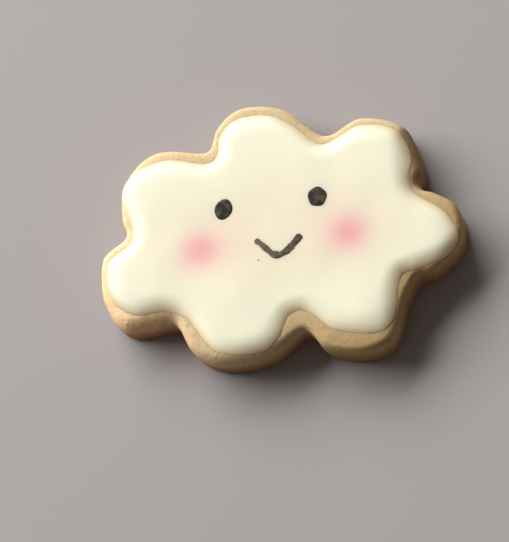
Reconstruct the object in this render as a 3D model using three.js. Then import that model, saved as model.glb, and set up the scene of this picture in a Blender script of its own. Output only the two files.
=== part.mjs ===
// A decorated sugar cookie: a cloud cut from rolled dough, flooded with ivory
// royal icing, with a face painted on the icing. Millimetres, +Z up, the cookie
// lying flat with the face upright along +Y. The origin is under the middle of
// the cookie, on the surface that it rests on.

import * as THREE from 'three';
import * as BufferGeometryUtils from 'three/addons/utils/BufferGeometryUtils.js';

// Driving dimensions of the biscuit.
const biscuitHeight = 6.9;     // of its middle
const domeDrop = 0.35;         // how far the puffed top comes down at its edge
const domeReach = 3.2;         // how far in from the outline the top is level
const footInset = 0.5;         // how far the bottom edge is rounded in
const footHeight = 0.8;
const bellyHeight = 2.6;       // where the baked side is widest
const crispEdge = 0.8;         // radius of the rounded top edge where it is crispest
const softEdge = 3.0;          // and where it baked softest
const sideLean = 0.06;         // how far the side has drawn in below the top edge

// The cloud's outline where the biscuit is widest, counter-clockwise: a soft
// closed curve through these points. The third number is how soft the top edge
// is there, from 0 for crisp to 1.
const biscuitOutline = [
  // right lobe
  [24.5, -10.1, 0.1], [29.2, -5.7, 0.1], [29.0, 0.2, 0.2], [25.8, 2.9, 0.3],
  // upper right lobe
  [23.7, 3.8, 0.25], [23.4, 4.6, 0.45], [24.0, 6.5, 0.4], [23.9, 9.3, 1.0], [23.0, 12.4, 0.9],
  [21.7, 14.9, 0.5], [14.8, 17.3, 0.25], [9.7, 15.1, 0.2],
  // top lobe
  [8.3, 15.3, 0.2], [2.3, 20.7, 0.2], [-5.1, 21.8, 0.2], [-9.0, 18.8, 0.2], [-10.2, 15.7, 0.2],
  // upper left lobe
  [-10.8, 15.2, 0.2], [-11.9, 15.2, 0.2], [-18.5, 16.3, 0.2], [-22.0, 14.9, 0.2], [-25.2, 10.8, 0.25],
  [-25.6, 5.1, 0.25],
  // lower left lobe
  [-25.0, 2.5, 0.2], [-29.0, -0.6, 0.35], [-29.7, -5.6, 0.5], [-29.2, -8.8, 0.7], [-26.1, -13.3, 0.68],
  [-17.9, -13.4, 0.8],
  // bottom lobe
  [-17.1, -14.1, 0.4], [-15.1, -18.3, 0.3], [-11.4, -20.8, 0.4], [-2.3, -20.5, 0.4],
  // lower right lobe
  [3.3, -17.2, 0.1], [4.6, -18.1, 0.0], [6.2, -20.3, 0.1], [12.5, -21.9, 0.15], [17.0, -20.5, 0.25],
  [20.0, -13.4, 0.15], [22.0, -10.6, 0.1],
];
const biscuitFacets = 210;

// The icing. It was flooded by hand, so its edge wanders inside the biscuit's.
const icingHeight = 0.7;       // of its level middle above the biscuit's
const icingEdgeHeight = 0.08;  // height of the small round at its rim
const icingEdgeWidth = 0.5;
const icingSteepWidth = 2.2;   // how far in from a rim on the biscuit's very edge the icing rises
const icingSlopeWidth = 3.0;   // and from a rim that has the roomy inset of biscuit outside it
const icingRoomyInset = 1.5;
const moundReach = 8.0;        // radius of the low mound of icing on each lobe
const icingBulgeHeight = 0.04; // the rim stands widest this far above its foot
const icingFootInset = 0.06;   // how far the foot is tucked in under the rim
const icingClearance = 0.12;   // between the icing and the sloping part of the biscuit's top
const icingFacets = 168;
const icingRim = [
  // right lobe
  [22.1, -9.7], [26.9, -8.0], [28.8, -5.2], [27.4, -1.3], [22.5, 3.1],
  // upper right lobe
  [22.0, 4.8], [22.4, 9.8], [20.3, 14.0], [14.8, 15.6], [11.8, 14.5],
  // top lobe
  [8.3, 13.3], [3.7, 17.4], [-0.2, 19.6], [-5.9, 19.4], [-8.3, 17.0],
  // upper left lobe
  [-9.1, 13.4], [-10.6, 12.7], [-17.0, 14.3], [-22.1, 13.2], [-25.3, 10.3],
  // lower left lobe
  [-23.8, 1.6], [-28.1, -2.2], [-27.7, -8.0], [-24.0, -11.3], [-18.6, -11.4],
  // bottom lobe
  [-15.6, -12.9], [-10.7, -19.2], [-3.1, -19.7], [-0.7, -17.9],
  // lower right lobe
  [1.3, -14.6], [3.3, -14.1], [5.3, -15.4], [8.2, -17.9], [15.9, -19.0], [17.8, -16.7], [19.6, -10.3],
];

// The mounds on the lobes, which stand up above the sunk middle of the icing.
const mounds = [
  { x: 16.2, y: 9.7, height: 0.1 },
  { x: -17.7, y: 8.2, height: 0.1 },
  { x: -21.9, y: -5.8, height: 0.15 },
  { x: -7.4, y: -11.3, height: 0.15 },
  { x: 12.4, y: -14.3, height: 0.15 },
];

// The painted face lies on the level middle of the icing.
const inkHeight = 0.2;
const eyes = [
  // width and height of the dot, its lean from upright in degrees, and how
  // many corners the brush left on it
  { name: 'eye_left', x: -8.15, y: 4.15, width: 3.05, height: 3.65, lean: -18, corners: 4, cornering: 0.02 },
  { name: 'eye_right', x: 7.2, y: 4.15, width: 3.2, height: 3.45, lean: 10, corners: 5, cornering: 0.035 },
];
const eyeFacets = 40;
const smileStroke = [
  // from the left end to the right end: place, and width of the stroke
  { x: -3.3, y: -1.7, width: 0.85 },
  { x: -2.4, y: -2.5, width: 0.95 },
  { x: -1.5, y: -3.5, width: 1.0 },
  { x: -0.6, y: -4.45, width: 1.05 },
  { x: 0.3, y: -4.75, width: 1.1 },
  { x: 1.0, y: -4.5, width: 1.1 },
  { x: 1.7, y: -4.15, width: 1.15 },
  { x: 2.4, y: -3.55, width: 1.25 },
  { x: 3.1, y: -2.85, width: 1.3 },
  { x: 3.7, y: -2.25, width: 1.2 },
  { x: 4.15, y: -1.85, width: 0.9 },
];
const smileSteps = 36;
const smileEndFacets = 5;

const biscuitMaterial = new THREE.MeshStandardMaterial({ color: 0xdcb57c, roughness: 0.85, metalness: 0 });
const icingMaterial = new THREE.MeshStandardMaterial({ color: 0xf6efdc, roughness: 0.45, metalness: 0 });
const inkMaterial = new THREE.MeshStandardMaterial({ color: 0x35302a, roughness: 0.6, metalness: 0 });

// A soft closed curve through hand-set points, cut into even steps. A third
// number of the points is carried along in z.
function softLoop(points, steps) {
  const curve = new THREE.CatmullRomCurve3(points.map(([x, y, extra = 0]) => new THREE.Vector3(x, y, extra)), true);
  return curve.getSpacedPoints(steps).slice(0, steps);
}

// A counter-clockwise closed curve moved in by a distance, which may differ
// from point to point.
function movedIn(loop, distanceAt) {
  return loop.map((point, index) => {
    const after = loop[(index + 1) % loop.length];
    const before = loop[(index + loop.length - 1) % loop.length];
    const step = distanceAt(point) / Math.hypot(after.x - before.x, after.y - before.y);
    return {
      x: point.x - (after.y - before.y) * step,
      y: point.y + (after.x - before.x) * step,
    };
  });
}

const fineCloud = softLoop(biscuitOutline, biscuitFacets * 6);

function edgeRadius(softness) {
  return crispEdge + (softEdge - crispEdge) * softness;
}

// Height of the biscuit's puffed top at a distance in from its outline, before
// its edge is rounded.
function domeHeight(inset) {
  return biscuitHeight - domeDrop * Math.max(0, 1 - inset / domeReach) ** 2;
}

// The point of the cloud's outline that is nearest to a place.
function nearestOnCloud(x, y) {
  let inset = Infinity;
  let softness = 0;
  for (const point of fineCloud) {
    const away = Math.hypot(point.x - x, point.y - y);
    if (away < inset) [inset, softness] = [away, point.z];
  }
  return { inset, softness };
}

// Height of the biscuit's top at a place inside its outline.
function biscuitTop(x, y) {
  const { inset, softness } = nearestOnCloud(x, y);
  const radius = edgeRadius(softness);
  const fromTop = Math.min(1, Math.max(0, (radius - inset) / (radius - sideLean)));
  return domeHeight(inset) - radius * (1 - Math.sqrt(1 - fromTop ** 2));
}

// A closed body from rings of points stacked from its foot to its crown, each
// ring counter-clockwise and as long as the others. Both ends are capped flat.
function bodyFromRings(rings) {
  const count = rings[0].length;
  const positions = rings.flat().flatMap((point) => [point.x, point.y, point.z]);
  const triangles = [];
  for (let level = 0; level < rings.length - 1; level += 1) {
    for (let step = 0; step < count; step += 1) {
      const a = level * count + step;
      const b = level * count + (step + 1) % count;
      triangles.push(a, b, b + count, a, b + count, a + count);
    }
  }
  const capFaces = (ring) => THREE.ShapeUtils.triangulateShape(ring.map((p) => new THREE.Vector2(p.x, p.y)), []);
  for (const [a, b, c] of capFaces(rings[0])) triangles.push(c, b, a);
  const last = (rings.length - 1) * count;
  for (const [a, b, c] of capFaces(rings[rings.length - 1])) triangles.push(last + a, last + b, last + c);
  const geometry = new THREE.BufferGeometry();
  geometry.setAttribute('position', new THREE.Float32BufferAttribute(positions, 3));
  geometry.setIndex(triangles);
  geometry.computeVertexNormals();
  return geometry;
}

// The biscuit's section at one place of the outline, from its foot over the
// bowed side to the end of the rounded top edge.
function edgeProfile(softness) {
  const foot = [0, 0.35, 0.7, 1].map((turn) => {
    const angle = turn * Math.PI / 2;
    const inset = sideLean / 2 + (footInset - sideLean / 2) * (1 - Math.sin(angle));
    return { inset, z: footHeight * (1 - Math.cos(angle)) };
  });
  const radius = edgeRadius(softness);
  const shoulder = [0, 0.24, 0.48, 0.73, 1].map((turn) => {
    const angle = turn * Math.PI / 2;
    const inset = sideLean + (radius - sideLean) * (1 - Math.cos(angle));
    return { inset, z: domeHeight(inset) - radius * (1 - Math.sin(angle)) };
  });
  return [...foot, { inset: 0, z: bellyHeight }, ...shoulder];
}

// The biscuit: a flat underside, a tight bottom edge, a slightly bowed side, a
// rounded top edge, and a puffed top that is level in the middle.
function biscuitGeometry() {
  const outline = softLoop(biscuitOutline, biscuitFacets);
  const profiles = outline.map((point) => edgeProfile(point.z));
  const rings = profiles[0].map((_, row) => {
    const insets = new Map(outline.map((point, index) => [point, profiles[index][row].inset]));
    return movedIn(outline, (point) => insets.get(point)).map(({ x, y }, index) => (
      new THREE.Vector3(x, y, profiles[index][row].z)));
  });
  const shoulderRing = rings[rings.length - 1];
  for (const scale of [0.96, 0.92, 0.87]) {
    rings.push(shoulderRing.map(({ x, y }) => {
      const { inset } = nearestOnCloud(x * scale, y * scale);
      return new THREE.Vector3(x * scale, y * scale, domeHeight(inset));
    }));
  }
  rings.push(shoulderRing.map(({ x, y }) => new THREE.Vector3(x * 0.8, y * 0.8, biscuitHeight)));
  return bodyFromRings(rings);
}

// A smooth distance in from the icing's rim, rounded off where two sides are
// equally near, so that the icing has no ridge, and the rim's foot height and
// slope width carried in to that place. All three add up the pull of the whole
// rim, which near a straight edge comes to the plain distance.
function carriedFromRim(rim, feet, x, y) {
  let pull = 0;
  let foot = 0;
  let slopeWidth = 0;
  rim.forEach((point, index) => {
    const next = rim[(index + 1) % rim.length];
    const length = Math.hypot(next.x - point.x, next.y - point.y);
    const share = length / Math.hypot(point.x - x, point.y - y) ** 4;
    pull += share;
    foot += share * feet[index].foot;
    slopeWidth += share * feet[index].slopeWidth;
  });
  return { depth: (pull / (Math.PI / 2)) ** (-1 / 3), foot: foot / pull, slopeWidth: slopeWidth / pull };
}

// How far the mounds on the lobes lift the icing at a place.
function moundSwell(x, y) {
  return mounds.reduce((sum, mound) => {
    const away = Math.min(1, Math.hypot(mound.x - x, mound.y - y) / moundReach);
    return sum + mound.height * (1 - away ** 2) ** 2;
  }, 0);
}

// Where the icing's rim stands on the biscuit, point by point, and how far in
// from there the icing rises: less where the rim lies close to the edge.
function rimFeet(rim) {
  return movedIn(rim, () => icingFootInset).map(({ x, y }) => {
    const roominess = Math.min(1, nearestOnCloud(x, y).inset / icingRoomyInset);
    return {
      foot: biscuitTop(x, y) + icingClearance,
      slopeWidth: icingSteepWidth + (icingSlopeWidth - icingSteepWidth) * roominess,
    };
  });
}

// The icing: a foot that follows the biscuit's top, a low rounded rim, a slope
// and a middle that is level under the face.
function icingGeometry() {
  const rim = softLoop(icingRim, icingFacets);
  const fineRim = softLoop(icingRim, icingFacets * 8);
  const feet = rimFeet(rim);
  const fineFeet = rimFeet(fineRim);

  const onBiscuit = ({ x, y }) => new THREE.Vector3(x, y, biscuitTop(x, y) + icingClearance);
  const scaled = (loop, scale) => loop.map(({ x, y }) => ({ x: x * scale, y: y * scale }));
  const rings = [scaled(rim, 0.7).map(({ x, y }) => new THREE.Vector3(x, y, biscuitHeight))];
  for (const scale of [0.78, 0.86]) rings.push(scaled(rim, scale).map(onBiscuit));
  for (const depth of [1.2, 0.6, icingFootInset]) rings.push(movedIn(rim, () => depth).map(onBiscuit));
  rings.push(rim.map(({ x, y }, index) => new THREE.Vector3(x, y, feet[index].foot + icingBulgeHeight)));

  const onTop = ({ x, y }) => {
    const { depth, foot, slopeWidth } = carriedFromRim(fineRim, fineFeet, x, y);
    const edge = Math.min(1, depth / icingEdgeWidth);
    const round = icingBulgeHeight + (icingEdgeHeight - icingBulgeHeight) * Math.sqrt(1 - (1 - edge) ** 2);
    const rise = 1 - (1 - Math.min(1, depth / slopeWidth)) ** 2;
    const middle = biscuitHeight + icingHeight + moundSwell(x, y);
    return new THREE.Vector3(x, y, foot + round + (middle - foot - icingEdgeHeight) * rise);
  };
  for (const depth of [0.07, 0.2, 0.45, 0.85, 1.4]) rings.push(movedIn(rim, () => depth).map(onTop));
  const lastMovedIn = movedIn(rim, () => 1.4);
  for (const scale of [0.94, 0.87, 0.79, 0.7, 0.59, 0.46, 0.3, 0.15]) {
    rings.push(scaled(lastMovedIn, scale).map(onTop));
  }
  return bodyFromRings(rings);
}

// A flat layer of edible ink on top of the icing.
function inkGeometry(outline) {
  const layer = new THREE.ExtrudeGeometry(new THREE.Shape(outline), { depth: inkHeight, bevelEnabled: false });
  layer.deleteAttribute('normal');
  layer.deleteAttribute('uv');
  const merged = BufferGeometryUtils.mergeVertices(layer);
  merged.computeVertexNormals();
  return merged;
}

// A dot as a brush leaves it: an oval that leans, with soft corners.
function eyeOutline(eye) {
  const lean = THREE.MathUtils.degToRad(eye.lean);
  return Array.from({ length: eyeFacets }, (_, step) => {
    const angle = 2 * Math.PI * step / eyeFacets;
    const swell = 1 + eye.cornering * Math.cos(eye.corners * angle);
    const across = eye.width / 2 * swell * Math.cos(angle);
    const up = eye.height / 2 * swell * Math.sin(angle);
    return new THREE.Vector2(
      across * Math.cos(lean) - up * Math.sin(lean),
      across * Math.sin(lean) + up * Math.cos(lean),
    );
  });
}

// The smile: one brush stroke of changing width with round ends.
function smileOutline() {
  const path = new THREE.CatmullRomCurve3(smileStroke.map(({ x, y, width }) => new THREE.Vector3(x, y, width)));
  const stations = path.getPoints(smileSteps);
  const headings = stations.map((_, index) => {
    const before = stations[Math.max(0, index - 1)];
    const after = stations[Math.min(smileSteps, index + 1)];
    return Math.atan2(after.y - before.y, after.x - before.x);
  });
  const edgePoint = (index, turn) => {
    const half = stations[index].z / 2;
    const angle = headings[index] + turn;
    return new THREE.Vector2(stations[index].x + half * Math.cos(angle), stations[index].y + half * Math.sin(angle));
  };
  const quarter = Math.PI / 2;
  const lower = stations.map((_, index) => edgePoint(index, -quarter));
  const upper = stations.map((_, index) => edgePoint(index, quarter)).reverse();
  const roundEnd = (index, start) => Array.from({ length: smileEndFacets - 1 }, (_, step) => (
    edgePoint(index, start + Math.PI * (step + 1) / smileEndFacets)));
  return [...lower, ...roundEnd(smileSteps, -quarter), ...upper, ...roundEnd(0, quarter)];
}

const group = new THREE.Group();

function addPiece(name, geometry, material) {
  const piece = new THREE.Mesh(geometry, material);
  piece.name = name;
  group.add(piece);
  return piece;
}

addPiece('cookie', biscuitGeometry(), biscuitMaterial);
addPiece('icing', icingGeometry(), icingMaterial);

const faceHeight = biscuitHeight + icingHeight;
for (const eye of eyes) {
  addPiece(eye.name, inkGeometry(eyeOutline(eye)), inkMaterial).position.set(eye.x, eye.y, faceHeight);
}
addPiece('smile', inkGeometry(smileOutline()), inkMaterial).position.z = faceHeight;

export default group;
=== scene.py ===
"""Looks of a decorated sugar cookie: a cloud cut from rolled dough, flooded with ivory royal icing,
with two dot eyes and a smile painted in edible ink and two cheeks of pink dust.
Lengths are in millimetres until a mesh is made, and the face stands upright along +Y."""

import math

import bpy
import numpy as np
from mathutils import Matrix, Vector


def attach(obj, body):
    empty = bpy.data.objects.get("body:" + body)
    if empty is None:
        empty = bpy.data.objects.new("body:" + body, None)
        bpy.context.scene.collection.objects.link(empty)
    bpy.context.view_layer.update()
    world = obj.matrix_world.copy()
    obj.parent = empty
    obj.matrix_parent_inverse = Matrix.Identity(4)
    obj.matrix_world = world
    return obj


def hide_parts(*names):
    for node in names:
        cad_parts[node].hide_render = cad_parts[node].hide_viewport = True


MM = 0.001

# The photograph's view
PHOTO_WIDTH, PHOTO_HEIGHT = 509, 542
PHOTO_AIM_PIXEL = (284.0, 239.0)
PHOTO_AIM_POINT = (0.65, -0.9, 4.0)
PHOTO_MM_PER_PIXEL = 0.16
VIEW_AZIMUTH = 32.0
VIEW_ELEVATION = 68.0
VIEW_ROLL = 37.6
LENS = 150.0
SENSOR = 36.0

# The biscuit: the height of its puffed middle, and how far it drops to its edge, over what width
BISCUIT_HEIGHT = 6.9
DOME_DROP = 0.35
DOME_REACH = 3.2
# The rounding of its foot, and the side, which stands furthest out at its belly and leans in above
FOOT_INSET = 0.5
FOOT_HEIGHT = 0.8
BELLY_HEIGHT = 2.6
SIDE_LEAN = 0.06
# Radius of the rounded top edge where it is crispest and where it baked softest
CRISP_EDGE = 0.8
SOFT_EDGE = 3.0
# The cloud's outline, counter-clockwise from the right lobe: a soft closed curve through these
# places. The third number is how soft the top edge is there, from 0 for crisp to 1.
BISCUIT_OUTLINE = [
    (24.5, -10.1, 0.1), (29.2, -5.7, 0.1), (29.0, 0.2, 0.2), (25.8, 2.9, 0.3),
    (23.7, 3.8, 0.25), (23.4, 4.6, 0.45), (24.0, 6.5, 0.4), (23.9, 9.3, 1.0), (23.0, 12.4, 0.9),
    (21.7, 14.9, 0.5), (14.8, 17.3, 0.25), (9.7, 15.1, 0.2),
    (8.3, 15.3, 0.2), (2.3, 20.7, 0.2), (-5.1, 21.8, 0.2), (-9.0, 18.8, 0.2), (-10.2, 15.7, 0.2),
    (-10.8, 15.2, 0.2), (-11.9, 15.2, 0.2), (-18.5, 16.3, 0.2), (-22.0, 14.9, 0.2), (-25.2, 10.8, 0.25),
    (-25.6, 5.1, 0.25),
    (-25.0, 2.5, 0.2), (-29.0, -0.6, 0.35), (-29.7, -5.6, 0.5), (-29.2, -8.8, 0.7), (-26.1, -13.3, 0.68),
    (-17.9, -13.4, 0.8),
    (-17.1, -14.1, 0.4), (-15.1, -18.3, 0.3), (-11.4, -20.8, 0.4), (-2.3, -20.5, 0.4),
    (3.3, -17.2, 0.1), (4.6, -18.1, 0.0), (6.2, -20.3, 0.1), (12.5, -21.9, 0.15), (17.0, -20.5, 0.25),
    (20.0, -13.4, 0.15), (22.0, -10.6, 0.1),
]

# The icing: its middle above the biscuit's, and the small round at its rim
ICING_HEIGHT = 0.7
ICING_EDGE_HEIGHT = 0.08
ICING_EDGE_WIDTH = 0.5
# How far in from its rim the icing rises to its middle: on the biscuit's very edge, and where the
# rim has the roomy inset of biscuit outside it
ICING_STEEP_WIDTH = 2.2
ICING_SLOPE_WIDTH = 3.0
ICING_ROOMY_INSET = 1.5
# The low mounds on the lobes, above the sunk middle: place and height, and how wide they are
MOUNDS = [
    (16.2, 9.7, 0.1), (-17.7, 8.2, 0.1), (-21.9, -5.8, 0.15), (-7.4, -11.3, 0.15), (12.4, -14.3, 0.15),
]
MOUND_REACH = 8.0
# The slow waves that a flood coat dries with
WAVE_DEPTH = 0.02
WAVE_COUNT = 14
WAVE_LENGTH_RANGE = (6.0, 14.0)
WAVE_SEED = 5
# The rim stands widest at its bulge. Its foot is tucked in and pressed a little into the rough
# dough, so that no gap shows, and the hidden underside lies sunk in the biscuit.
ICING_BULGE_HEIGHT = 0.04
ICING_FOOT_INSET = 0.06
ICING_EMBED = 0.13
ICING_SINK = 1.5
# How far in from the rim the rows of the underside and of the rounded edge lie, and the fold between
# them, as distance in and height above the foot
UNDERSIDE_DEPTHS = (1.5, 1.0, 0.6, 0.35)
RIM_FOLD = ((ICING_FOOT_INSET, -ICING_SINK), (0.05, -0.06), (0.03, -0.02), (0.01, 0.02))
RIM_DEPTHS = (
    0, 0.015, 0.04, 0.08, 0.13, 0.19, 0.26, 0.34, 0.43, 0.53, 0.66, 0.8, 1.0, 1.2, 1.4, 1.6, 1.8)
# The icing's rim, counter-clockwise from the right lobe
ICING_RIM = [
    (22.1, -9.7), (26.9, -8.0), (28.8, -5.2), (27.4, -1.3), (22.5, 3.1),
    (22.0, 4.8), (22.4, 9.8), (20.3, 14.0), (14.8, 15.6), (11.8, 14.5),
    (8.3, 13.3), (3.7, 17.4), (-0.2, 19.6), (-5.9, 19.4), (-8.3, 17.0),
    (-9.1, 13.4), (-10.6, 12.7), (-17.0, 14.3), (-22.1, 13.2), (-25.3, 10.3),
    (-23.8, 1.6), (-28.1, -2.2), (-27.7, -8.0), (-24.0, -11.3), (-18.6, -11.4),
    (-15.6, -12.9), (-10.7, -19.2), (-3.1, -19.7), (-0.7, -17.9),
    (1.3, -14.6), (3.3, -14.1), (5.3, -15.4), (8.2, -17.9), (15.9, -19.0), (17.8, -16.7),
    (19.6, -10.3),
]

# The painted eyes: place, width, height, lean in degrees, how many corners the brush left, and how
# far the corners stand out as a share of the dot
EYES = {
    "eye_left": (-8.15, 4.15, 3.05, 3.65, -18, 4, 0.02),
    "eye_right": (7.2, 4.15, 3.2, 3.45, 10, 5, 0.035),
}
# A stray speck of ink under the smile, given like the eyes
INK_SPECK = (-3.0, -5.15, 0.26, 0.22, 20, 3, 0.06)
# A dot's ink stands on the icing by its height, less its sink at the edge, and keeps its height
# almost to the edge. Its hidden root goes down into the icing, a little inside the edge.
INK_HEIGHT = 0.09
INK_SINK = 0.02
INK_ROOT_DEPTH = 0.1
INK_ROOT_SHARE = 0.9
INK_FLATNESS = 6
# The smile's stroke from its left end to its right: place and width
SMILE_STROKE = [
    (-3.3, -1.7, 0.85), (-2.4, -2.5, 0.95), (-1.5, -3.5, 1.0), (-0.6, -4.45, 1.05),
    (0.3, -4.75, 1.1), (1.0, -4.5, 1.1), (1.7, -4.15, 1.15), (2.4, -3.55, 1.25),
    (3.1, -2.85, 1.3), (3.7, -2.25, 1.2), (4.15, -1.85, 0.9),
]
# The dust on the cheeks: each cheek's middle, and how far it spreads across and up. A dense patch
# lies in a thin wide one, and both are given as a share of the spread and a strength.
CHEEKS = [((-12.25, -2.15), (2.4, 2.0)), ((11.75, -2.4), (2.3, 2.05))]
DUST_PATCHES = ((0.92, 0.82), (2.4, 0.2))

# The light, in metres and watts: a window to the upper left of the picture, in a warm dim room
WINDOW_AZIMUTH = 134.0
WINDOW_ELEVATION = 33.0
WINDOW_DISTANCE = 1.5
WINDOW_SIZE = (2.0, 0.85)
WINDOW_POWER = 48.0
WINDOW_COLOUR = (1.0, 0.98, 0.94)
ROOM_COLOUR = (1.0, 0.86, 0.76, 1.0)
ROOM_STRENGTH = 0.12
# How far the table reaches to each side, in millimetres again
TABLE_REACH = 600

# How finely the curves and surfaces are cut
SPAN_STEPS = 40
CLOUD_STEPS = 1200
RIM_STEPS = 1500
BISCUIT_STEPS = 900
ICING_STEPS = 720
ICING_MIDDLE_ROWS = 40
DOT_STEPS = 72
DOT_ROWS = 9
# How many places are set against a whole outline at once
BLOCK_SIZE = 400

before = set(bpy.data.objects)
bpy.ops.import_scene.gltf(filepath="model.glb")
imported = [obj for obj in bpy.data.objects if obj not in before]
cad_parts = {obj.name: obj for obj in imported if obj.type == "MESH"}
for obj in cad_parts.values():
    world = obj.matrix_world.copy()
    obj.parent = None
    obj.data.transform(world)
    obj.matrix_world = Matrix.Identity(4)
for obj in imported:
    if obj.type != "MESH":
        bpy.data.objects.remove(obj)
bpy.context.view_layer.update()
scene = bpy.context.scene


# Small tools

def linear(hex_colour):
    """A colour written as sRGB hex, as the linear RGBA that a shader takes."""
    parts = [int(hex_colour[i:i + 2], 16) / 255 for i in (1, 3, 5)]
    light = [p / 12.92 if p <= 0.04045 else ((p + 0.055) / 1.055) ** 2.4 for p in parts]
    return (*light, 1.0)


def add_node(tree, kind, settings=None, inputs=None):
    """Adds a node with its settings, and fills its inputs with values or links."""
    node = tree.nodes.new(kind)
    for name, value in (settings or {}).items():
        setattr(node, name, value)
    for key, value in (inputs or {}).items():
        if isinstance(value, bpy.types.NodeSocket):
            tree.links.new(value, node.inputs[key])
        else:
            node.inputs[key].default_value = value
    return node


def new_object(name, vertices, faces):
    """A smooth-shaded object at the origin from vertices in millimetres."""
    mesh = bpy.data.meshes.new(name)
    mesh.from_pydata((np.asarray(vertices, float) * MM).tolist(), [], faces)
    mesh.validate()
    mesh.shade_smooth()
    piece = bpy.data.objects.new(name, mesh)
    scene.collection.objects.link(piece)
    return piece


def keep(piece, slot, *nodes):
    """Puts a finished piece on the cookie's one body, in place of the plain solids it stands for."""
    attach(piece, "root")
    if nodes:
        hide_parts(*nodes)


# Outlines

def smooth_loop(points, steps):
    """A closed curve through given points, as a centripetal spline with even spacing."""
    points = np.asarray(points, float)
    p0, p1, p2, p3 = (np.roll(points, shift, 0) for shift in (1, 0, -1, -2))
    gaps = [np.linalg.norm(b - a, axis=1)[:, None] ** 0.5 for a, b in ((p0, p1), (p1, p2), (p2, p3))]
    d0, d1, d2 = gaps
    leave = ((p1 - p0) / d0 - (p2 - p0) / (d0 + d1) + (p2 - p1) / d1) * d1
    arrive = ((p2 - p1) / d1 - (p3 - p1) / (d1 + d2) + (p3 - p2) / d2) * d1
    t = np.linspace(0, 1, SPAN_STEPS, endpoint=False)[None, :, None]
    a, b, s, e = (value[:, None, :] for value in (p1, p2, leave, arrive))
    curve = a + s * t + (3 * (b - a) - 2 * s - e) * t ** 2 + (2 * (a - b) + s + e) * t ** 3
    curve = curve.reshape(-1, points.shape[1])
    closed = np.vstack([curve, curve[:1]])
    length = np.concatenate([[0], np.cumsum(np.linalg.norm(np.diff(closed, axis=0), axis=1))])
    even = np.linspace(0, length[-1], steps, endpoint=False)
    return np.column_stack([np.interp(even, length, column) for column in closed.T])


def blocks(places):
    """Places in blocks that are small enough to set against a whole outline."""
    return np.array_split(places, max(1, len(places) // BLOCK_SIZE))


def depth_and_carried(outline, values, places):
    """Distance in from a closed outline, rounded off where two sides are equally near, and the
    outline's own rows of values carried in to each place. Both add up the pull of the whole
    outline, which near a straight edge comes to the plain distance."""
    length = np.linalg.norm(np.roll(outline, -1, 0) - outline, axis=1)
    depths, carried = [], []
    for block in blocks(places):
        # the last term keeps a place on the outline itself from dividing by zero
        squares = ((block[:, None, :] - outline[None]) ** 2).sum(2) + 1e-6
        pull = length / squares ** 2
        total = pull.sum(1)
        depths.append((total / (math.pi / 2)) ** (-1 / 3))
        carried.append(pull @ values / total[:, None])
    return np.concatenate(depths), np.concatenate(carried)


CLOUD = smooth_loop(BISCUIT_OUTLINE, CLOUD_STEPS)


def edge_radius(softness):
    """Radius of the rounded top edge."""
    return CRISP_EDGE + (SOFT_EDGE - CRISP_EDGE) * softness


def dome_height(inset):
    """Height of the biscuit's puffed top, before its edge is rounded."""
    return BISCUIT_HEIGHT - DOME_DROP * np.clip(1 - inset / DOME_REACH, 0, 1) ** 2


def nearest_on_cloud(places):
    """How far places lie inside the outline, and how soft the outline's nearest point is."""
    insets, softness = [], []
    for block in blocks(places):
        squares = ((block[:, None, :] - CLOUD[None, :, :2]) ** 2).sum(2)
        insets.append(np.sqrt(squares.min(1)))
        softness.append(CLOUD[squares.argmin(1), 2])
    return np.concatenate(insets), np.concatenate(softness)


def biscuit_top(places):
    """Height of the biscuit's top at places inside its outline."""
    inset, softness = nearest_on_cloud(places)
    radius = edge_radius(softness)
    from_top = np.clip((radius - inset) / (radius - SIDE_LEAN), 0, 1)
    return dome_height(inset) - radius * (1 - np.sqrt(1 - from_top ** 2))


# Camera

def photo_camera():
    """The camera that sees the cookie as the photograph does."""
    azimuth, elevation, roll = (math.radians(a) for a in (VIEW_AZIMUTH, VIEW_ELEVATION, VIEW_ROLL))
    back = Vector((
        math.sin(azimuth) * math.cos(elevation),
        -math.cos(azimuth) * math.cos(elevation),
        math.sin(elevation)))
    level = Vector((math.cos(azimuth), math.sin(azimuth), 0))
    upright = back.cross(level)
    right = math.cos(roll) * level - math.sin(roll) * upright
    up = math.sin(roll) * level + math.cos(roll) * upright
    focal_pixels = LENS / SENSOR * PHOTO_HEIGHT
    distance = focal_pixels * PHOTO_MM_PER_PIXEL
    across = (PHOTO_AIM_PIXEL[0] - PHOTO_WIDTH / 2) * PHOTO_MM_PER_PIXEL
    above = (PHOTO_HEIGHT / 2 - PHOTO_AIM_PIXEL[1]) * PHOTO_MM_PER_PIXEL
    place = Vector(PHOTO_AIM_POINT) + back * distance - right * across - up * above
    data = bpy.data.cameras.new("photo_camera")
    data.lens = LENS
    data.sensor_width = SENSOR
    data.clip_start = 0.01
    camera = bpy.data.objects.new("photo_camera", data)
    camera.matrix_world = Matrix.Translation(place * MM) @ Matrix((right, up, back)).transposed().to_4x4()
    scene.collection.objects.link(camera)
    scene.camera = camera


# Geometry trees

def geometry_tree(name, sockets):
    """An empty geometry tree with named inputs, given as name and socket type."""
    tree = bpy.data.node_groups.new(name, "GeometryNodeTree")
    tree.interface.new_socket("Geometry", in_out="INPUT", socket_type="NodeSocketGeometry")
    for socket_name, socket_type in sockets.items():
        tree.interface.new_socket(socket_name, in_out="INPUT", socket_type=socket_type)
    tree.interface.new_socket("Geometry", in_out="OUTPUT", socket_type="NodeSocketGeometry")
    return tree, tree.nodes.new("NodeGroupInput").outputs


def finish_tree(tree, geometry, material):
    """Ends a geometry tree in real geometry with its material."""
    real = add_node(tree, "GeometryNodeRealizeInstances", inputs={"Geometry": geometry})
    coated = add_node(tree, "GeometryNodeSetMaterial",
                      inputs={"Geometry": real.outputs[0], "Material": material})
    add_node(tree, "NodeGroupOutput", inputs={"Geometry": coated.outputs[0]})


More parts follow.
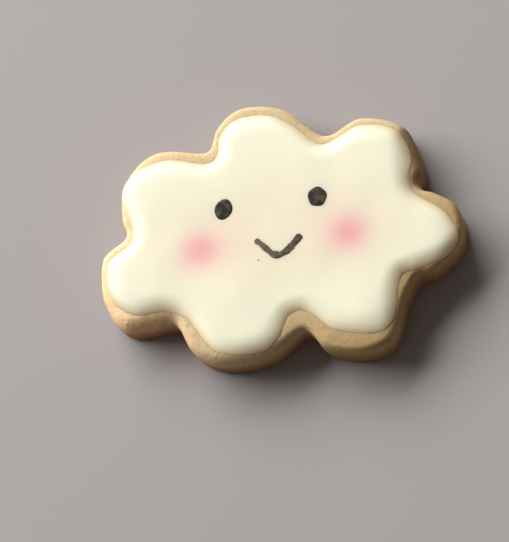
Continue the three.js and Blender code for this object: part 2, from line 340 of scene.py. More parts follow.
def grown(name, base, tree, values):
    """Runs a geometry tree on a base object and returns its result as a plain mesh object."""
    modifier = base.modifiers.new("grow", "NODES")
    modifier.node_group = tree
    for item in tree.interface.items_tree:
        if item.in_out == "INPUT" and item.name in values:
            modifier[item.identifier] = values[item.name]
    depsgraph = bpy.context.evaluated_depsgraph_get()
    mesh = bpy.data.meshes.new_from_object(base.evaluated_get(depsgraph), depsgraph=depsgraph)
    base.modifiers.remove(modifier)
    mesh.name = name
    piece = bpy.data.objects.new(name, mesh)
    scene.collection.objects.link(piece)
    return piece


FLOAT, COUNT, THING, FINISH = (
    "NodeSocketFloat", "NodeSocketInt", "NodeSocketObject", "NodeSocketMaterial")


def dough_tree():
    """The biscuit: rows of its edge profile carried round the cloud's outline, closed to the middle
    below and over the puffed top, then roughened with the waves, grain and pores of baked dough."""
    tree, given = geometry_tree("baked_dough", {
        "Outline": THING, "Crisp Rows": THING, "Soft Rows": THING, "Around": COUNT, "Rows": COUNT,
        "Height": FLOAT, "Dome Drop": FLOAT, "Dome Reach": FLOAT,
        "Wave Width": FLOAT, "Wave Depth": FLOAT, "Grain Width": FLOAT, "Grain Depth": FLOAT,
        "Pore Width": FLOAT, "Pore Depth": FLOAT, "Seed": FLOAT, "Dough": FINISH})
    grid = add_node(tree, "GeometryNodeMeshGrid", inputs={
        "Size X": 1.0, "Size Y": 1.0, "Vertices X": given["Around"], "Vertices Y": given["Rows"]})
    place = add_node(tree, "GeometryNodeInputPosition")
    grid_place = add_node(tree, "ShaderNodeSeparateXYZ", inputs={0: place.outputs[0]})
    # the grid runs from -0.5 to 0.5, and the factor along the outline from 0 to 1
    around = add_node(tree, "ShaderNodeMath", {"operation": "ADD"}, {0: grid_place.outputs[0], 1: 0.5})
    index = add_node(tree, "GeometryNodeInputIndex")
    row = add_node(tree, "ShaderNodeMath", {"operation": "MODULO"},
                   {0: index.outputs[0], 1: given["Rows"]})
    outline = add_node(tree, "GeometryNodeObjectInfo", inputs={"Object": given["Outline"]})
    softness = add_node(tree, "GeometryNodeInputRadius")
    on_outline = add_node(tree, "GeometryNodeSampleCurve", {"mode": "FACTOR", "use_all_curves": True}, {
        "Curves": outline.outputs["Geometry"], "Value": softness.outputs[0], "Factor": around.outputs[0]})
    sections = []
    for rows in ("Crisp Rows", "Soft Rows"):
        profile = add_node(tree, "GeometryNodeObjectInfo", inputs={"Object": given[rows]})
        sections.append(add_node(tree, "GeometryNodeSampleIndex", {"data_type": "FLOAT_VECTOR"}, {
            "Geometry": profile.outputs["Geometry"], "Value": place.outputs[0], "Index": row.outputs[0]}))
    section = add_node(tree, "ShaderNodeMix", {"data_type": "VECTOR"}, {
        0: on_outline.outputs["Value"], 4: sections[0].outputs["Value"], 5: sections[1].outputs["Value"]})
    section_parts = add_node(tree, "ShaderNodeSeparateXYZ", inputs={0: section.outputs[1]})
    inset, height, closing = section_parts.outputs
    outward = add_node(tree, "ShaderNodeVectorMath", {"operation": "CROSS_PRODUCT"},
                       {0: on_outline.outputs["Tangent"], 1: (0, 0, 1)})
    moved_in = add_node(tree, "ShaderNodeMath", {"operation": "MULTIPLY"}, {0: inset, 1: -1.0})
    step_in = add_node(tree, "ShaderNodeVectorMath", {"operation": "SCALE"},
                       {0: outward.outputs[0], "Scale": moved_in.outputs[0]})
    ring = add_node(tree, "ShaderNodeVectorMath", {"operation": "ADD"},
                    {0: on_outline.outputs["Position"], 1: step_in.outputs[0]})
    drawn_in = add_node(tree, "ShaderNodeMath", {"operation": "ABSOLUTE"}, {0: closing})
    still_open = add_node(tree, "ShaderNodeMath", {"operation": "SUBTRACT"}, {0: 1.0, 1: drawn_in.outputs[0]})
    closed_ring = add_node(tree, "ShaderNodeVectorMath", {"operation": "SCALE"},
                           {0: ring.outputs[0], "Scale": still_open.outputs[0]})

    outline_edges = add_node(tree, "GeometryNodeCurveToMesh", inputs={"Curve": outline.outputs["Geometry"]})
    from_outline = add_node(tree, "GeometryNodeProximity", {"target_element": "EDGES"}, {
        "Geometry": outline_edges.outputs[0], "Sample Position": closed_ring.outputs[0]})
    share_down = add_node(tree, "ShaderNodeMapRange", inputs={
        "Value": from_outline.outputs["Distance"], "From Max": given["Dome Reach"],
        "To Min": 1.0, "To Max": 0.0})
    curved = add_node(tree, "ShaderNodeMath", {"operation": "POWER"}, {0: share_down.outputs[0], 1: 2.0})
    down = add_node(tree, "ShaderNodeMath", {"operation": "MULTIPLY"},
                    {0: curved.outputs[0], 1: given["Dome Drop"]})
    dome = add_node(tree, "ShaderNodeMath", {"operation": "SUBTRACT"},
                    {0: given["Height"], 1: down.outputs[0]})
    on_top = add_node(tree, "ShaderNodeMath", {"operation": "GREATER_THAN"}, {0: closing, 1: 0.001})
    level = add_node(tree, "ShaderNodeMix", {"data_type": "FLOAT"},
                     {0: on_top.outputs[0], 2: height, 3: dome.outputs[0]})
    from_edge = add_node(tree, "ShaderNodeMix", {"data_type": "FLOAT"},
                         {0: on_top.outputs[0], 2: inset, 3: from_outline.outputs["Distance"]})
    lift = add_node(tree, "ShaderNodeCombineXYZ", inputs={2: level.outputs[0]})
    shaped = add_node(tree, "ShaderNodeVectorMath", {"operation": "ADD"},
                      {0: closed_ring.outputs[0], 1: lift.outputs[0]})
    noted = add_node(tree, "GeometryNodeStoreNamedAttribute", {"data_type": "FLOAT", "domain": "POINT"},
                     {"Geometry": grid.outputs["Mesh"], "Name": "inset", "Value": from_edge.outputs[0]})
    swept = add_node(tree, "GeometryNodeSetPosition",
                     inputs={"Geometry": noted.outputs[0], "Position": shaped.outputs[0]})
    sealed = add_node(tree, "GeometryNodeMergeByDistance",
                      inputs={"Geometry": swept.outputs[0], "Distance": 0.002 * MM})

    normal = add_node(tree, "GeometryNodeInputNormal")
    seeded = add_node(tree, "ShaderNodeVectorMath", {"operation": "ADD"},
                      {0: place.outputs[0], 1: given["Seed"]})

    def roughness(width, depth, detail, low, high):
        scale = add_node(tree, "ShaderNodeMath", {"operation": "DIVIDE"}, {0: 1.0, 1: given[width]})
        noise = add_node(tree, "ShaderNodeTexNoise", inputs={
            "Vector": seeded.outputs[0], "Scale": scale.outputs[0], "Detail": detail})
        reach = add_node(tree, "ShaderNodeMapRange", {"interpolation_type": "SMOOTHSTEP"}, {
            "Value": noise.outputs[0], "From Min": low, "From Max": high})
        return add_node(tree, "ShaderNodeMath", {"operation": "MULTIPLY"},
                        {0: reach.outputs[0], 1: given[depth]})

    waves = roughness("Wave Width", "Wave Depth", 1.0, 0.2, 0.8)
    grain = roughness("Grain Width", "Grain Depth", 2.0, 0.25, 0.75)
    pores = roughness("Pore Width", "Pore Depth", 0.0, 0.64, 0.82)
    deep = add_node(tree, "ShaderNodeMath", {"operation": "ADD"}, {0: waves.outputs[0], 1: grain.outputs[0]})
    deeper = add_node(tree, "ShaderNodeMath", {"operation": "ADD"}, {0: deep.outputs[0], 1: pores.outputs[0]})
    inward = add_node(tree, "ShaderNodeMath", {"operation": "MULTIPLY"}, {0: deeper.outputs[0], 1: -1.0})
    offset = add_node(tree, "ShaderNodeVectorMath", {"operation": "SCALE"},
                      {0: normal.outputs[0], "Scale": inward.outputs[0]})
    rough = add_node(tree, "GeometryNodeSetPosition",
                     inputs={"Geometry": sealed.outputs[0], "Offset": offset.outputs[0]})
    finish_tree(tree, rough.outputs[0], given["Dough"])
    return tree


def profile_rows(softness):
    """The biscuit's section from the middle of its underside, over its edge, to the middle of its
    top, as inset, height and how far the row is drawn in to the middle, which is negative below.
    On the top the height follows from the distance to the outline instead."""
    quarter = math.pi / 2
    foot = [((FOOT_INSET - SIDE_LEAN / 2) * (1 - math.sin(t)) + SIDE_LEAN / 2,
             FOOT_HEIGHT * (1 - math.cos(t)), 0) for t in np.linspace(0, quarter, 7)]
    radius = edge_radius(softness)
    side_end = dome_height(SIDE_LEAN) - radius
    side = []
    for z in np.linspace(FOOT_HEIGHT, side_end, 18)[1:-1]:
        if z < BELLY_HEIGHT:
            bow = SIDE_LEAN / 2 * ((BELLY_HEIGHT - z) / (BELLY_HEIGHT - FOOT_HEIGHT)) ** 2
        else:
            bow = SIDE_LEAN * ((z - BELLY_HEIGHT) / (side_end - BELLY_HEIGHT)) ** 2
        side.append((bow, z, 0))
    shoulder = []
    for t in np.linspace(0, quarter, 18):
        inset = SIDE_LEAN + (radius - SIDE_LEAN) * (1 - math.cos(t))
        shoulder.append((inset, dome_height(inset) - radius * (1 - math.sin(t)), 0))
    below = [(FOOT_INSET, 0, -closing) for closing in np.linspace(1, 0, 9)[:-1]]
    # the rows lie close together where the dome still falls, and far apart on the level middle
    closings = (*np.linspace(0, 0.15, 13)[1:], 0.2, 0.27, 0.36, 0.5, 0.75, 1)
    above = [(radius, 0, closing) for closing in closings]
    return below + foot + side + shoulder + above


def helper_curve(name, points, cyclic, radii):
    """A curve that only guides a geometry tree, with a value for each point kept as its radius."""
    data = bpy.data.curves.new(name, "CURVE")
    data.dimensions = "3D"
    spline = data.splines.new("POLY")
    spline.points.add(len(points) - 1)
    for point, (x, y), radius in zip(spline.points, points, radii):
        point.co = (x * MM, y * MM, 0, 1)
        point.radius = radius
    spline.use_cyclic_u = cyclic
    helper = bpy.data.objects.new(name, data)
    scene.collection.objects.link(helper)
    return helper


def make_biscuit(dough):
    """The biscuit, grown round its outline from its crispest and its softest section."""
    outline = helper_curve("outline_guide", CLOUD[:, :2], True, CLOUD[:, 2])
    # a row's third number is a share and not a length, so its change to metres is undone here
    crisp, soft = (new_object("profile_guide", np.array(profile_rows(softness)) * (1, 1, 1 / MM), [])
                   for softness in (0, 1))
    base = new_object("biscuit_guide", np.zeros((1, 3)), [])
    # the grid's first and last columns meet where the outline closes, so it has one more than steps
    biscuit = grown("cookie_biscuit", base, dough_tree(), {
        "Outline": outline, "Crisp Rows": crisp, "Soft Rows": soft,
        "Around": BISCUIT_STEPS + 1, "Rows": len(crisp.data.vertices),
        "Height": BISCUIT_HEIGHT * MM, "Dome Drop": DOME_DROP * MM, "Dome Reach": DOME_REACH * MM,
        "Wave Width": 9.0 * MM, "Wave Depth": 0.07 * MM, "Grain Width": 1.1 * MM, "Grain Depth": 0.04 * MM,
        "Pore Width": 0.8 * MM, "Pore Depth": 0.035 * MM, "Seed": 3.0, "Dough": dough})
    for helper in (outline, crisp, soft, base):
        bpy.data.objects.remove(helper)
    biscuit.data.shade_smooth()
    keep(biscuit, "biscuit", "cookie")
    return biscuit


def crumb_tree():
    """Grains of crumb and sugar baked into the dough's surface, mostly sunk in it."""
    tree, given = geometry_tree("crumb_grains", {
        "Density": FLOAT, "Smallest": FLOAT, "Largest": FLOAT, "Sink": FLOAT, "Least Height": FLOAT,
        "Edge Width": FLOAT, "Seed": COUNT, "Crumb": FINISH})
    place = add_node(tree, "GeometryNodeInputPosition")
    height = add_node(tree, "ShaderNodeSeparateXYZ", inputs={0: place.outputs[0]})
    inset = add_node(tree, "GeometryNodeInputNamedAttribute", {"data_type": "FLOAT"}, {"Name": "inset"})
    off_table = add_node(tree, "FunctionNodeCompare", {"data_type": "FLOAT", "operation": "GREATER_THAN"},
                         {0: height.outputs[2], 1: given["Least Height"]})
    by_edge = add_node(tree, "FunctionNodeCompare", {"data_type": "FLOAT", "operation": "LESS_THAN"},
                       {0: inset.outputs[0], 1: given["Edge Width"]})
    bare = add_node(tree, "FunctionNodeBooleanMath", {"operation": "AND"},
                    {0: off_table.outputs[0], 1: by_edge.outputs[0]})
    spots = add_node(tree, "GeometryNodeDistributePointsOnFaces", inputs={
        "Mesh": given["Geometry"], "Selection": bare.outputs[0],
        "Density": given["Density"], "Seed": given["Seed"]})
    grain = add_node(tree, "GeometryNodeMeshIcoSphere", inputs={"Radius": 1.0, "Subdivisions": 1})
    turn = add_node(tree, "FunctionNodeRandomValue", {"data_type": "FLOAT_VECTOR"},
                    {0: (0, 0, 0), 1: (6.28, 6.28, 6.28), "Seed": given["Seed"]})
    size = add_node(tree, "FunctionNodeRandomValue", {"data_type": "FLOAT"},
                    {2: given["Smallest"], 3: given["Largest"], "Seed": given["Seed"]})
    squeeze = add_node(tree, "FunctionNodeRandomValue", {"data_type": "FLOAT_VECTOR"},
                       {0: (0.7, 0.7, 0.4), 1: (1.1, 1.1, 0.8), "Seed": given["Seed"]})
    shape = add_node(tree, "ShaderNodeVectorMath", {"operation": "SCALE"},
                     {0: squeeze.outputs[0], "Scale": size.outputs[1]})
    inward = add_node(tree, "ShaderNodeMath", {"operation": "MULTIPLY"}, {0: given["Sink"], 1: -1.0})
    down = add_node(tree, "ShaderNodeVectorMath", {"operation": "SCALE"},
                    {0: spots.outputs["Normal"], "Scale": inward.outputs[0]})
    sunk = add_node(tree, "GeometryNodeSetPosition",
                    inputs={"Geometry": spots.outputs["Points"], "Offset": down.outputs[0]})
    scattered = add_node(tree, "GeometryNodeInstanceOnPoints", inputs={
        "Points": sunk.outputs[0], "Instance": grain.outputs["Mesh"],
        "Rotation": turn.outputs[0], "Scale": shape.outputs[0]})
    finish_tree(tree, scattered.outputs[0], given["Crumb"])
    return tree


def make_crumbs(biscuit, crumb):
    """The grains, spread over the bare dough from just above the table to under the icing's rim."""
    crumbs = grown("crumb_grains", biscuit, crumb_tree(), {
        "Density": 0.4 / MM ** 2, "Smallest": 0.1 * MM, "Largest": 0.18 * MM,
        "Sink": 0.12 * MM, "Least Height": 0.5 * MM, "Edge Width": 3.5 * MM, "Seed": 11,
        "Crumb": crumb})
    keep(crumbs, "biscuit")


# Icing

def inward_of(loop):
    """The direction in from a counter-clockwise loop at each of its points."""
    heading = np.roll(loop, -1, 0) - np.roll(loop, 1, 0)
    heading /= np.linalg.norm(heading, axis=1)[:, None]
    return np.column_stack([-heading[:, 1], heading[:, 0]])


RIM = smooth_loop(ICING_RIM, RIM_STEPS)
RIM_FOOT = biscuit_top(RIM + inward_of(RIM) * ICING_FOOT_INSET) - ICING_EMBED
RIM_SLOPE = ICING_STEEP_WIDTH + (ICING_SLOPE_WIDTH - ICING_STEEP_WIDTH) * np.minimum(
    1, nearest_on_cloud(RIM)[0] / ICING_ROOMY_INSET)
draws = np.random.default_rng(WAVE_SEED)
WAVE_TURNS = draws.uniform(0, 2 * math.pi, WAVE_COUNT)
WAVE_LENGTHS = draws.uniform(*WAVE_LENGTH_RANGE, WAVE_COUNT)
WAVE_STARTS = draws.uniform(0, 2 * math.pi, WAVE_COUNT)


def icing_surface(places):
    """Height of the icing's top: a low rounded rim, a slope up to a middle that sank as it dried, a
    low mound on each lobe, and the slow waves of a flood coat."""
    depth, carried = depth_and_carried(RIM, np.column_stack([RIM_FOOT, RIM_SLOPE]), places)
    foot, slope_width = carried.T
    edge = np.clip(depth / ICING_EDGE_WIDTH, 0, 1)
    rounding = ICING_BULGE_HEIGHT + (ICING_EDGE_HEIGHT - ICING_BULGE_HEIGHT) * np.sqrt(1 - (1 - edge) ** 2)
    rise = 1 - (1 - np.clip(depth / slope_width, 0, 1)) ** 2
    along = places @ np.array([np.cos(WAVE_TURNS), np.sin(WAVE_TURNS)])
    ripple = np.sin(along * 2 * math.pi / WAVE_LENGTHS + WAVE_STARTS).sum(1) / math.sqrt(WAVE_COUNT)
    middle = BISCUIT_HEIGHT + ICING_HEIGHT + WAVE_DEPTH * ripple
    for x, y, swell in MOUNDS:
        away = ((places - (x, y)) ** 2).sum(1) / MOUND_REACH ** 2
        middle += swell * (1 - np.minimum(away, 1)) ** 2
    return foot + rounding + (middle - foot - ICING_EDGE_HEIGHT) * rise


def capped_rings(rings, count):
    """Faces of a stack of rings, closed by a middle point below and one above that follow them."""
    faces = []
    for level in range(rings - 1):
        for step in range(count):
            a = level * count + step
            b = level * count + (step + 1) % count
            faces.append((a, b, b + count, a + count))
    under, top = rings * count, rings * count + 1
    last = (rings - 1) * count
    for step in range(count):
        after = (step + 1) % count
        faces.append((after, step, under))
        faces.append((last + step, last + after, top))
    return faces


def make_icing(sugar):
    """The flood coat, as rings from its sunk underside, round its rim and in over its top."""
    rim = smooth_loop(ICING_RIM, ICING_STEPS)
    inward = inward_of(rim)
    foot = biscuit_top(rim + inward * ICING_FOOT_INSET) - ICING_EMBED
    rows, from_rim = [], []
    for depth in UNDERSIDE_DEPTHS:
        places = rim + inward * depth
        rows.append(np.column_stack([places, biscuit_top(places) - ICING_SINK]))
        from_rim.append(0)
    for depth, height in RIM_FOLD:
        rows.append(np.column_stack([rim + inward * depth, foot + height]))
        from_rim.append(0)
    for depth in RIM_DEPTHS:
        places = rim + inward * depth
        rows.append(np.column_stack([places, icing_surface(places)]))
        from_rim.append(depth)
    last_places = places
    for scale in np.linspace(1, 0, ICING_MIDDLE_ROWS)[1:-1]:
        places = last_places * scale
        rows.append(np.column_stack([places, icing_surface(places)]))
        from_rim.append(RIM_DEPTHS[-1] + 1)

    middle = np.zeros((1, 2))
    vertices = np.vstack(rows + [
        [(0, 0, BISCUIT_HEIGHT - ICING_SINK)], np.column_stack([middle, icing_surface(middle)])])
    icing = new_object("royal_icing", vertices, capped_rings(len(rows), ICING_STEPS))
    # the finish reads how far in from the rim the icing is, to tint it where it is thin
    thin = icing.data.attributes.new("from_rim", "FLOAT", "POINT")
    thin.data.foreach_set("value", np.concatenate([np.repeat(from_rim, ICING_STEPS), [0, 1]]) * MM)
    icing.data.materials.append(sugar)
    keep(icing, "icing", "icing")
    return icing


# Painted face

def make_dot(name, shape, ink, *nodes):
    """A brushed dot: an oval that leans, with soft corners, low and thinning to its edge."""
    x, y, width, height, lean, corners, cornering = shape
    angle = np.linspace(0, 2 * math.pi, DOT_STEPS, endpoint=False)
    swell = 1 + cornering * np.cos(corners * angle)
    turn = math.radians(lean)
    across = width / 2 * swell * np.cos(angle)
    up = height / 2 * swell * np.sin(angle)
    edge = np.column_stack([
        across * math.cos(turn) - up * math.sin(turn),
        across * math.sin(turn) + up * math.cos(turn)])
    places = edge * INK_ROOT_SHARE + (x, y)
    rows = [np.column_stack([places, icing_surface(places) - INK_ROOT_DEPTH])]
    for scale in np.linspace(1, 0, DOT_ROWS, endpoint=False):
        places = edge * scale + (x, y)
        thickness = INK_HEIGHT * (1 - scale ** INK_FLATNESS)
        rows.append(np.column_stack([places, icing_surface(places) - INK_SINK + thickness]))
    middle = np.array([[x, y]])
    level = icing_surface(middle)
    vertices = np.vstack(rows + [
        np.column_stack([middle, level - INK_ROOT_DEPTH]),
        np.column_stack([middle, level - INK_SINK + INK_HEIGHT])])
    dot = new_object(name + "_dot", vertices, capped_rings(len(rows), DOT_STEPS))
    dot.data.materials.append(ink)
    keep(dot, "ink", *nodes)


def stroke_tree():
    """A brush stroke: a path of changing width, given a low round section and laid on the icing."""
    tree, given = geometry_tree("brush_stroke", {
        "Step": FLOAT, "Ink Height": FLOAT, "Ragged Width": FLOAT, "Ragged Share": FLOAT,
        "Ink Sink": FLOAT, "Icing": THING, "Sides": COUNT, "Ink": FINISH})
    radius = add_node(tree, "GeometryNodeInputRadius")
    place = add_node(tree, "GeometryNodeInputPosition")
    path = add_node(tree, "GeometryNodeResampleCurve", {"mode": "LENGTH"},
                    {"Curve": given["Geometry"], "Length": given["Step"]})
    scale = add_node(tree, "ShaderNodeMath", {"operation": "DIVIDE"}, {0: 1.0, 1: given["Ragged Width"]})
    noise = add_node(tree, "ShaderNodeTexNoise", inputs={
        "Vector": place.outputs[0], "Scale": scale.outputs[0], "Detail": 2.0})
    least = add_node(tree, "ShaderNodeMath", {"operation": "SUBTRACT"}, {0: 1.0, 1: given["Ragged Share"]})
    most = add_node(tree, "ShaderNodeMath", {"operation": "ADD"}, {0: 1.0, 1: given["Ragged Share"]})
    ragged = add_node(tree, "ShaderNodeMapRange", inputs={
        "Value": noise.outputs[0], "From Min": 0.3, "From Max": 0.7, "To Min": least.outputs[0],
        "To Max": most.outputs[0]})
    width = add_node(tree, "ShaderNodeMath", {"operation": "MULTIPLY"},
                     {0: radius.outputs[0], 1: ragged.outputs[0]})
    shaped = add_node(tree, "GeometryNodeSetCurveRadius",
                      inputs={"Curve": path.outputs[0], "Radius": width.outputs[0]})
    section = add_node(tree, "GeometryNodeCurvePrimitiveCircle", {"mode": "RADIUS"},
                       {"Resolution": given["Sides"], "Radius": 1.0})
    swept = add_node(tree, "GeometryNodeCurveToMesh", inputs={
        "Curve": shaped.outputs[0], "Profile Curve": section.outputs["Curve"],
        "Scale": width.outputs[0], "Fill Caps": True})
    around = add_node(tree, "ShaderNodeSeparateXYZ", inputs={0: place.outputs[0]})
    # the round section's own height tells the stroke's top from its underside
    above = add_node(tree, "ShaderNodeMapRange", {"interpolation_type": "SMOOTHSTEP"}, {
        "Value": around.outputs[2], "From Min": -0.3 * MM, "From Max": 0.3 * MM})
    icing = add_node(tree, "GeometryNodeObjectInfo", inputs={"Object": given["Icing"]})
    from_above = add_node(tree, "ShaderNodeCombineXYZ",
                          inputs={0: around.outputs[0], 1: around.outputs[1], 2: 1.0})
    hit = add_node(tree, "GeometryNodeRaycast", inputs={
        "Target Geometry": icing.outputs["Geometry"], "Source Position": from_above.outputs[0],
        "Ray Direction": (0, 0, -1), "Ray Length": 2.0})
    under = add_node(tree, "ShaderNodeSeparateXYZ", inputs={0: hit.outputs["Hit Position"]})
    ink_top = add_node(tree, "ShaderNodeMath", {"operation": "MULTIPLY_ADD"},
                       {0: above.outputs[0], 1: given["Ink Height"], 2: under.outputs[2]})
    lift = add_node(tree, "ShaderNodeMath", {"operation": "SUBTRACT"},
                    {0: ink_top.outputs[0], 1: given["Ink Sink"]})
    laid = add_node(tree, "ShaderNodeCombineXYZ",
                    inputs={0: around.outputs[0], 1: around.outputs[1], 2: lift.outputs[0]})
    flat = add_node(tree, "GeometryNodeSetPosition",
                    inputs={"Geometry": swept.outputs[0], "Position": laid.outputs[0]})
    finish_tree(tree, flat.outputs[0], given["Ink"])
    return tree


def make_smile(icing, ink):
    """The smile, swept along its stroke and laid on the icing."""
    places = np.array(SMILE_STROKE)
    guide = helper_curve("smile_guide", places[:, :2], False, places[:, 2] / 2 * MM)
    smile = grown("smile_stroke", guide, stroke_tree(), {
        "Step": 0.12 * MM, "Ink Height": 0.16 * MM, "Ragged Width": 0.7 * MM, "Ragged Share": 0.12,
        "Ink Sink": 0.08 * MM, "Icing": icing, "Sides": 24, "Ink": ink})
    bpy.data.objects.remove(guide)
    smile.data.shade_smooth()
    keep(smile, "ink", "smile")


# Finishes

def new_finish(name):
    """A material with a plain shader, and the coordinates that its patterns follow."""
    material = bpy.data.materials.new(name)
    material.use_nodes = True
    tree = material.node_tree
    tree.nodes.clear()
    shader = add_node(tree, "ShaderNodeBsdfPrincipled")
    add_node(tree, "ShaderNodeOutputMaterial", inputs={"Surface": shader.outputs[0]})
    coordinates = add_node(tree, "ShaderNodeTexCoord").outputs["Object"]
    return material, tree, shader, coordinates


def laid_over(tree, colour, tints):
    """A colour with tints laid over it one after another, each by its own share of the surface."""
    for share, tint in tints:
        mix = add_node(tree, "ShaderNodeMix", {"data_type": "RGBA"}, {0: share, 6: colour, 7: tint})
        colour = mix.outputs[2]
    return colour


def dough_finish():
    """Baked sugar-cookie dough, rolled and cut. It gives the eye a dry matt crumb, pale gold above and
    browner down the side and at its foot, partly with painted shade there, browner towards the lower
    right, with painted shade on the right-hand wall, warmed by light that sinks in."""
    material, tree, shader, coordinates = new_finish("baked_sugar_dough")
    parts = add_node(tree, "ShaderNodeSeparateXYZ", inputs={0: coordinates})
    blotch = add_node(tree, "ShaderNodeTexNoise",
                      inputs={"Vector": coordinates, "Scale": 1 / (3.0 * MM), "Detail": 3.0})
    # paler towards the top, browner and redder down the side and at the foot: partly the foot's real
    # browning, partly painted shade of the side walls
    baked = add_node(tree, "ShaderNodeMath", {"operation": "MULTIPLY_ADD"},
                     {0: blotch.outputs[0], 1: 2.4 * MM, 2: parts.outputs[2]})
    pale = add_node(tree, "ShaderNodeMapRange", {"interpolation_type": "SMOOTHSTEP"}, {
        "Value": baked.outputs[0], "From Min": 2.5 * MM, "From Max": 8.0 * MM})
    # paler and warmer towards the left lobes
    left_lobes = add_node(tree, "ShaderNodeMapRange", {"interpolation_type": "SMOOTHSTEP"}, {
        "Value": parts.outputs[0], "From Min": -12 * MM, "From Max": -26 * MM})
    top_colour = laid_over(tree, linear("#D9C39A"), [(left_lobes.outputs[0], linear("#FFDAAA"))])
    # browner towards the lower right
    across = add_node(tree, "ShaderNodeMath", {"operation": "SUBTRACT"},
                      {0: parts.outputs[0], 1: parts.outputs[1]})
    browner_lower_right = add_node(tree, "ShaderNodeMapRange", {"interpolation_type": "SMOOTHSTEP"}, {
        "Value": across.outputs[0], "From Min": 4 * MM, "From Max": 34 * MM, "To Max": 0.6})
    # painted shade: the wall at the upper right, which turns away from the light, is darker
    far_right = add_node(tree, "ShaderNodeMapRange", {"interpolation_type": "SMOOTHSTEP"}, {
        "Value": parts.outputs[0], "From Min": 20 * MM, "From Max": 24 * MM})
    painted_shade_right_wall = add_node(tree, "ShaderNodeMapRange", {"interpolation_type": "SMOOTHSTEP"}, {
        "Value": parts.outputs[1], "From Min": 3 * MM, "From Max": 7 * MM,
        "To Max": far_right.outputs[0]})
    fine = add_node(tree, "ShaderNodeTexNoise",
                    inputs={"Vector": coordinates, "Scale": 1 / (0.6 * MM), "Detail": 4.0})
    freckle = add_node(tree, "ShaderNodeMapRange",
                       inputs={"Value": fine.outputs[0], "From Min": 0.5, "From Max": 0.72, "To Max": 0.45})
    colour = laid_over(tree, linear("#A0683F"), [
        (pale.outputs[0], top_colour),
        (browner_lower_right.outputs[0], linear("#A08247")),
        (painted_shade_right_wall.outputs[0], linear("#93714A")),
        (freckle.outputs[0], linear("#B98A52"))])
    tree.links.new(colour, shader.inputs["Base Color"])
    shader.inputs["Roughness"].default_value = 0.82
    shader.inputs["Subsurface Weight"].default_value = 0.5
    shader.inputs["Subsurface Radius"].default_value = (1.0, 0.5, 0.25)
    shader.inputs["Subsurface Scale"].default_value = 1.5 * MM
    bump = add_node(tree, "ShaderNodeBump",
                    inputs={"Strength": 0.7, "Distance": 0.09 * MM, "Height": fine.outputs[0]})
    tree.links.new(bump.outputs[0], shader.inputs["Normal"])
    return material


def crumb_finish():
    """Grains of crumb and sugar baked into the dough. They give the eye fine specks, a little
    smoother than the dough and of mixed tone."""
    material, tree, shader, coordinates = new_finish("baked_crumb")
    blotch = add_node(tree, "ShaderNodeTexNoise",
                      inputs={"Vector": coordinates, "Scale": 1 / (0.8 * MM), "Detail": 2.0})
    colour = laid_over(tree, linear("#B98A55"), [(blotch.outputs[0], linear("#EBD2A2"))])
    tree.links.new(colour, shader.inputs["Base Color"])
    shader.inputs["Roughness"].default_value = 0.7
    return material


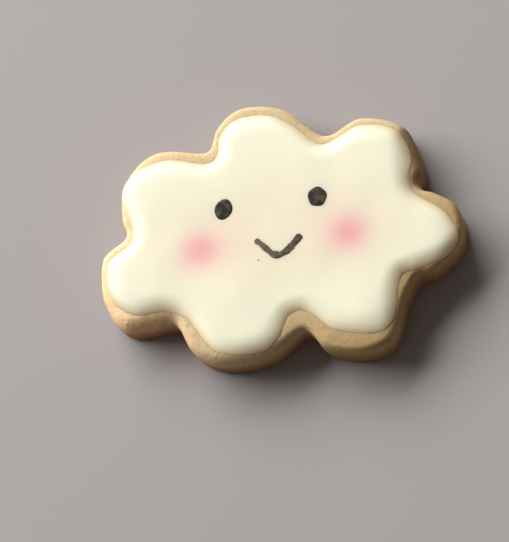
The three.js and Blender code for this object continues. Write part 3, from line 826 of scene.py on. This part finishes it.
def icing_finish():
    """Royal icing, flooded and dried, with pink petal dust on the cheeks. It gives the eye a dense
    ivory crust with a satin sheen, whose shaded side glows with the light that sinks into sugar."""
    material, tree, shader, coordinates = new_finish("dried_royal_icing")
    cloudy = add_node(tree, "ShaderNodeTexNoise",
                      inputs={"Vector": coordinates, "Scale": 1 / (7.0 * MM), "Detail": 2.0})
    in_middle = add_node(tree, "ShaderNodeVectorMath", {"operation": "MULTIPLY"},
                         {0: coordinates, 1: (1 / (20 * MM), 1 / (15 * MM), 0)})
    from_centre = add_node(tree, "ShaderNodeVectorMath", {"operation": "LENGTH"}, {0: in_middle.outputs[0]})
    lobe_painted_light = add_node(tree, "ShaderNodeMapRange", {"interpolation_type": "SMOOTHSTEP"}, {
        "Value": from_centre.outputs["Value"], "From Min": 0.35, "From Max": 1.0})
    from_rim = add_node(tree, "ShaderNodeAttribute", {"attribute_name": "from_rim"})
    thin = add_node(tree, "ShaderNodeMapRange", {"interpolation_type": "SMOOTHSTEP"}, {
        "Value": from_rim.outputs["Fac"], "From Min": 0, "From Max": 1.6 * MM, "To Min": 0.7, "To Max": 0})
    # painted light: the icing is whiter out towards the lobes, for the light they catch, and the dough shows
    # through where the rim is thin
    tints = [
        (cloudy.outputs[0], linear("#F9F3DF")),
        (lobe_painted_light.outputs[0], linear("#FFF7E0")),
        (thin.outputs[0], linear("#EFD0A0"))]
    # petal dust is finer than this, which is as fine as the picture shows
    powder = add_node(tree, "ShaderNodeTexNoise",
                      inputs={"Vector": coordinates, "Scale": 1 / (0.5 * MM), "Detail": 3.0})
    patchy = add_node(tree, "ShaderNodeMapRange",
                      inputs={"Value": powder.outputs[0], "From Min": 0.3, "From Max": 0.7, "To Min": 0.9})
    for (x, y), (wide, high) in CHEEKS:
        for spread, strength in DUST_PATCHES:
            from_middle = add_node(tree, "ShaderNodeVectorMath", {"operation": "SUBTRACT"},
                                   {0: coordinates, 1: (x * MM, y * MM, 0)})
            in_widths = add_node(tree, "ShaderNodeVectorMath", {"operation": "MULTIPLY"}, {
                0: from_middle.outputs[0],
                1: (1 / (wide * spread * MM), 1 / (high * spread * MM), 0)})
            square = add_node(tree, "ShaderNodeVectorMath", {"operation": "DOT_PRODUCT"},
                              {0: in_widths.outputs[0], 1: in_widths.outputs[0]})
            fading = add_node(tree, "ShaderNodeMath", {"operation": "MULTIPLY"},
                              {0: square.outputs["Value"], 1: -0.5})
            bell = add_node(tree, "ShaderNodeMath", {"operation": "EXPONENT"}, {0: fading.outputs[0]})
            dusted = add_node(tree, "ShaderNodeMath", {"operation": "MULTIPLY"},
                              {0: bell.outputs[0], 1: strength})
            share = add_node(tree, "ShaderNodeMath", {"operation": "MULTIPLY"},
                             {0: dusted.outputs[0], 1: patchy.outputs[0]})
            tints.append((share.outputs[0], linear("#FFA9B4")))
    tree.links.new(laid_over(tree, linear("#F4ECD4"), tints), shader.inputs["Base Color"])
    shader.inputs["Roughness"].default_value = 0.48
    shader.inputs["Specular IOR Level"].default_value = 0.4
    shader.inputs["Subsurface Weight"].default_value = 0.8
    shader.inputs["Subsurface Radius"].default_value = (1.0, 0.8, 0.6)
    shader.inputs["Subsurface Scale"].default_value = 1.2 * MM
    return material


def ink_finish():
    """Edible black ink brushed on dry icing. It gives the eye a matt warm black, thinner and
    browner in patches and along the smile, where the brush ran dry."""
    material, tree, shader, coordinates = new_finish("edible_black_ink")
    parts = add_node(tree, "ShaderNodeSeparateXYZ", inputs={0: coordinates})
    on_smile = add_node(tree, "ShaderNodeMath", {"operation": "LESS_THAN"}, {0: parts.outputs[1], 1: 0})
    running_dry = add_node(tree, "ShaderNodeMapRange", inputs={
        "Value": parts.outputs[0], "From Min": -3.5 * MM, "From Max": 4 * MM, "To Min": 0.4, "To Max": 0.1})
    drier = add_node(tree, "ShaderNodeMath", {"operation": "MULTIPLY"},
                     {0: on_smile.outputs[0], 1: running_dry.outputs[0]})
    wash = add_node(tree, "ShaderNodeTexNoise",
                    inputs={"Vector": coordinates, "Scale": 1 / (1.1 * MM), "Detail": 4.0})
    thinner = add_node(tree, "ShaderNodeMath", {"operation": "ADD"},
                       {0: wash.outputs[0], 1: drier.outputs[0]})
    thin = add_node(tree, "ShaderNodeMapRange",
                    inputs={"Value": thinner.outputs[0], "From Min": 0.43, "From Max": 0.88})
    colour = laid_over(tree, linear("#1A1713"), [(thin.outputs[0], linear("#6E6350"))])
    tree.links.new(colour, shader.inputs["Base Color"])
    shader.inputs["Roughness"].default_value = 0.7
    shader.inputs["Specular IOR Level"].default_value = 0.3
    return material


# Stage

def make_stage():
    """A pale matt painted table, which shows little but the shadow, and soft light from one side."""
    corners = [(x * TABLE_REACH, y * TABLE_REACH, 0) for x, y in ((-1, -1), (1, -1), (1, 1), (-1, 1))]
    floor = new_object("table", corners, [(0, 1, 2, 3)])
    material, _, shader, _ = new_finish("pale_table")
    shader.inputs["Base Color"].default_value = linear("#A9A5A8")
    shader.inputs["Roughness"].default_value = 0.8
    floor.data.materials.append(material)

    around, elevation = math.radians(WINDOW_AZIMUTH), math.radians(WINDOW_ELEVATION)
    direction = Vector((
        math.cos(around) * math.cos(elevation), math.sin(around) * math.cos(elevation), math.sin(elevation)))
    data = bpy.data.lights.new("window", "AREA")
    data.shape = "RECTANGLE"
    data.size, data.size_y = WINDOW_SIZE
    data.energy = WINDOW_POWER
    data.color = WINDOW_COLOUR
    lamp = bpy.data.objects.new("window", data)
    lamp.matrix_world = (Matrix.Translation(direction * WINDOW_DISTANCE)
                         @ direction.to_track_quat("Z", "Y").to_matrix().to_4x4())
    scene.collection.objects.link(lamp)

    world = bpy.data.worlds.new("studio")
    world.use_nodes = True
    background = world.node_tree.nodes["Background"]
    background.inputs["Color"].default_value = ROOM_COLOUR
    background.inputs["Strength"].default_value = ROOM_STRENGTH
    scene.world = world
    scene.view_settings.view_transform = "Standard"


photo_camera()
ink_coat = ink_finish()
biscuit_piece = make_biscuit(dough_finish())
make_crumbs(biscuit_piece, crumb_finish())
icing_piece = make_icing(icing_finish())
for eye_name, eye_shape in EYES.items():
    make_dot(eye_name, eye_shape, ink_coat, eye_name)
make_dot("ink_speck", INK_SPECK, ink_coat)
make_smile(icing_piece, ink_coat)
make_stage()
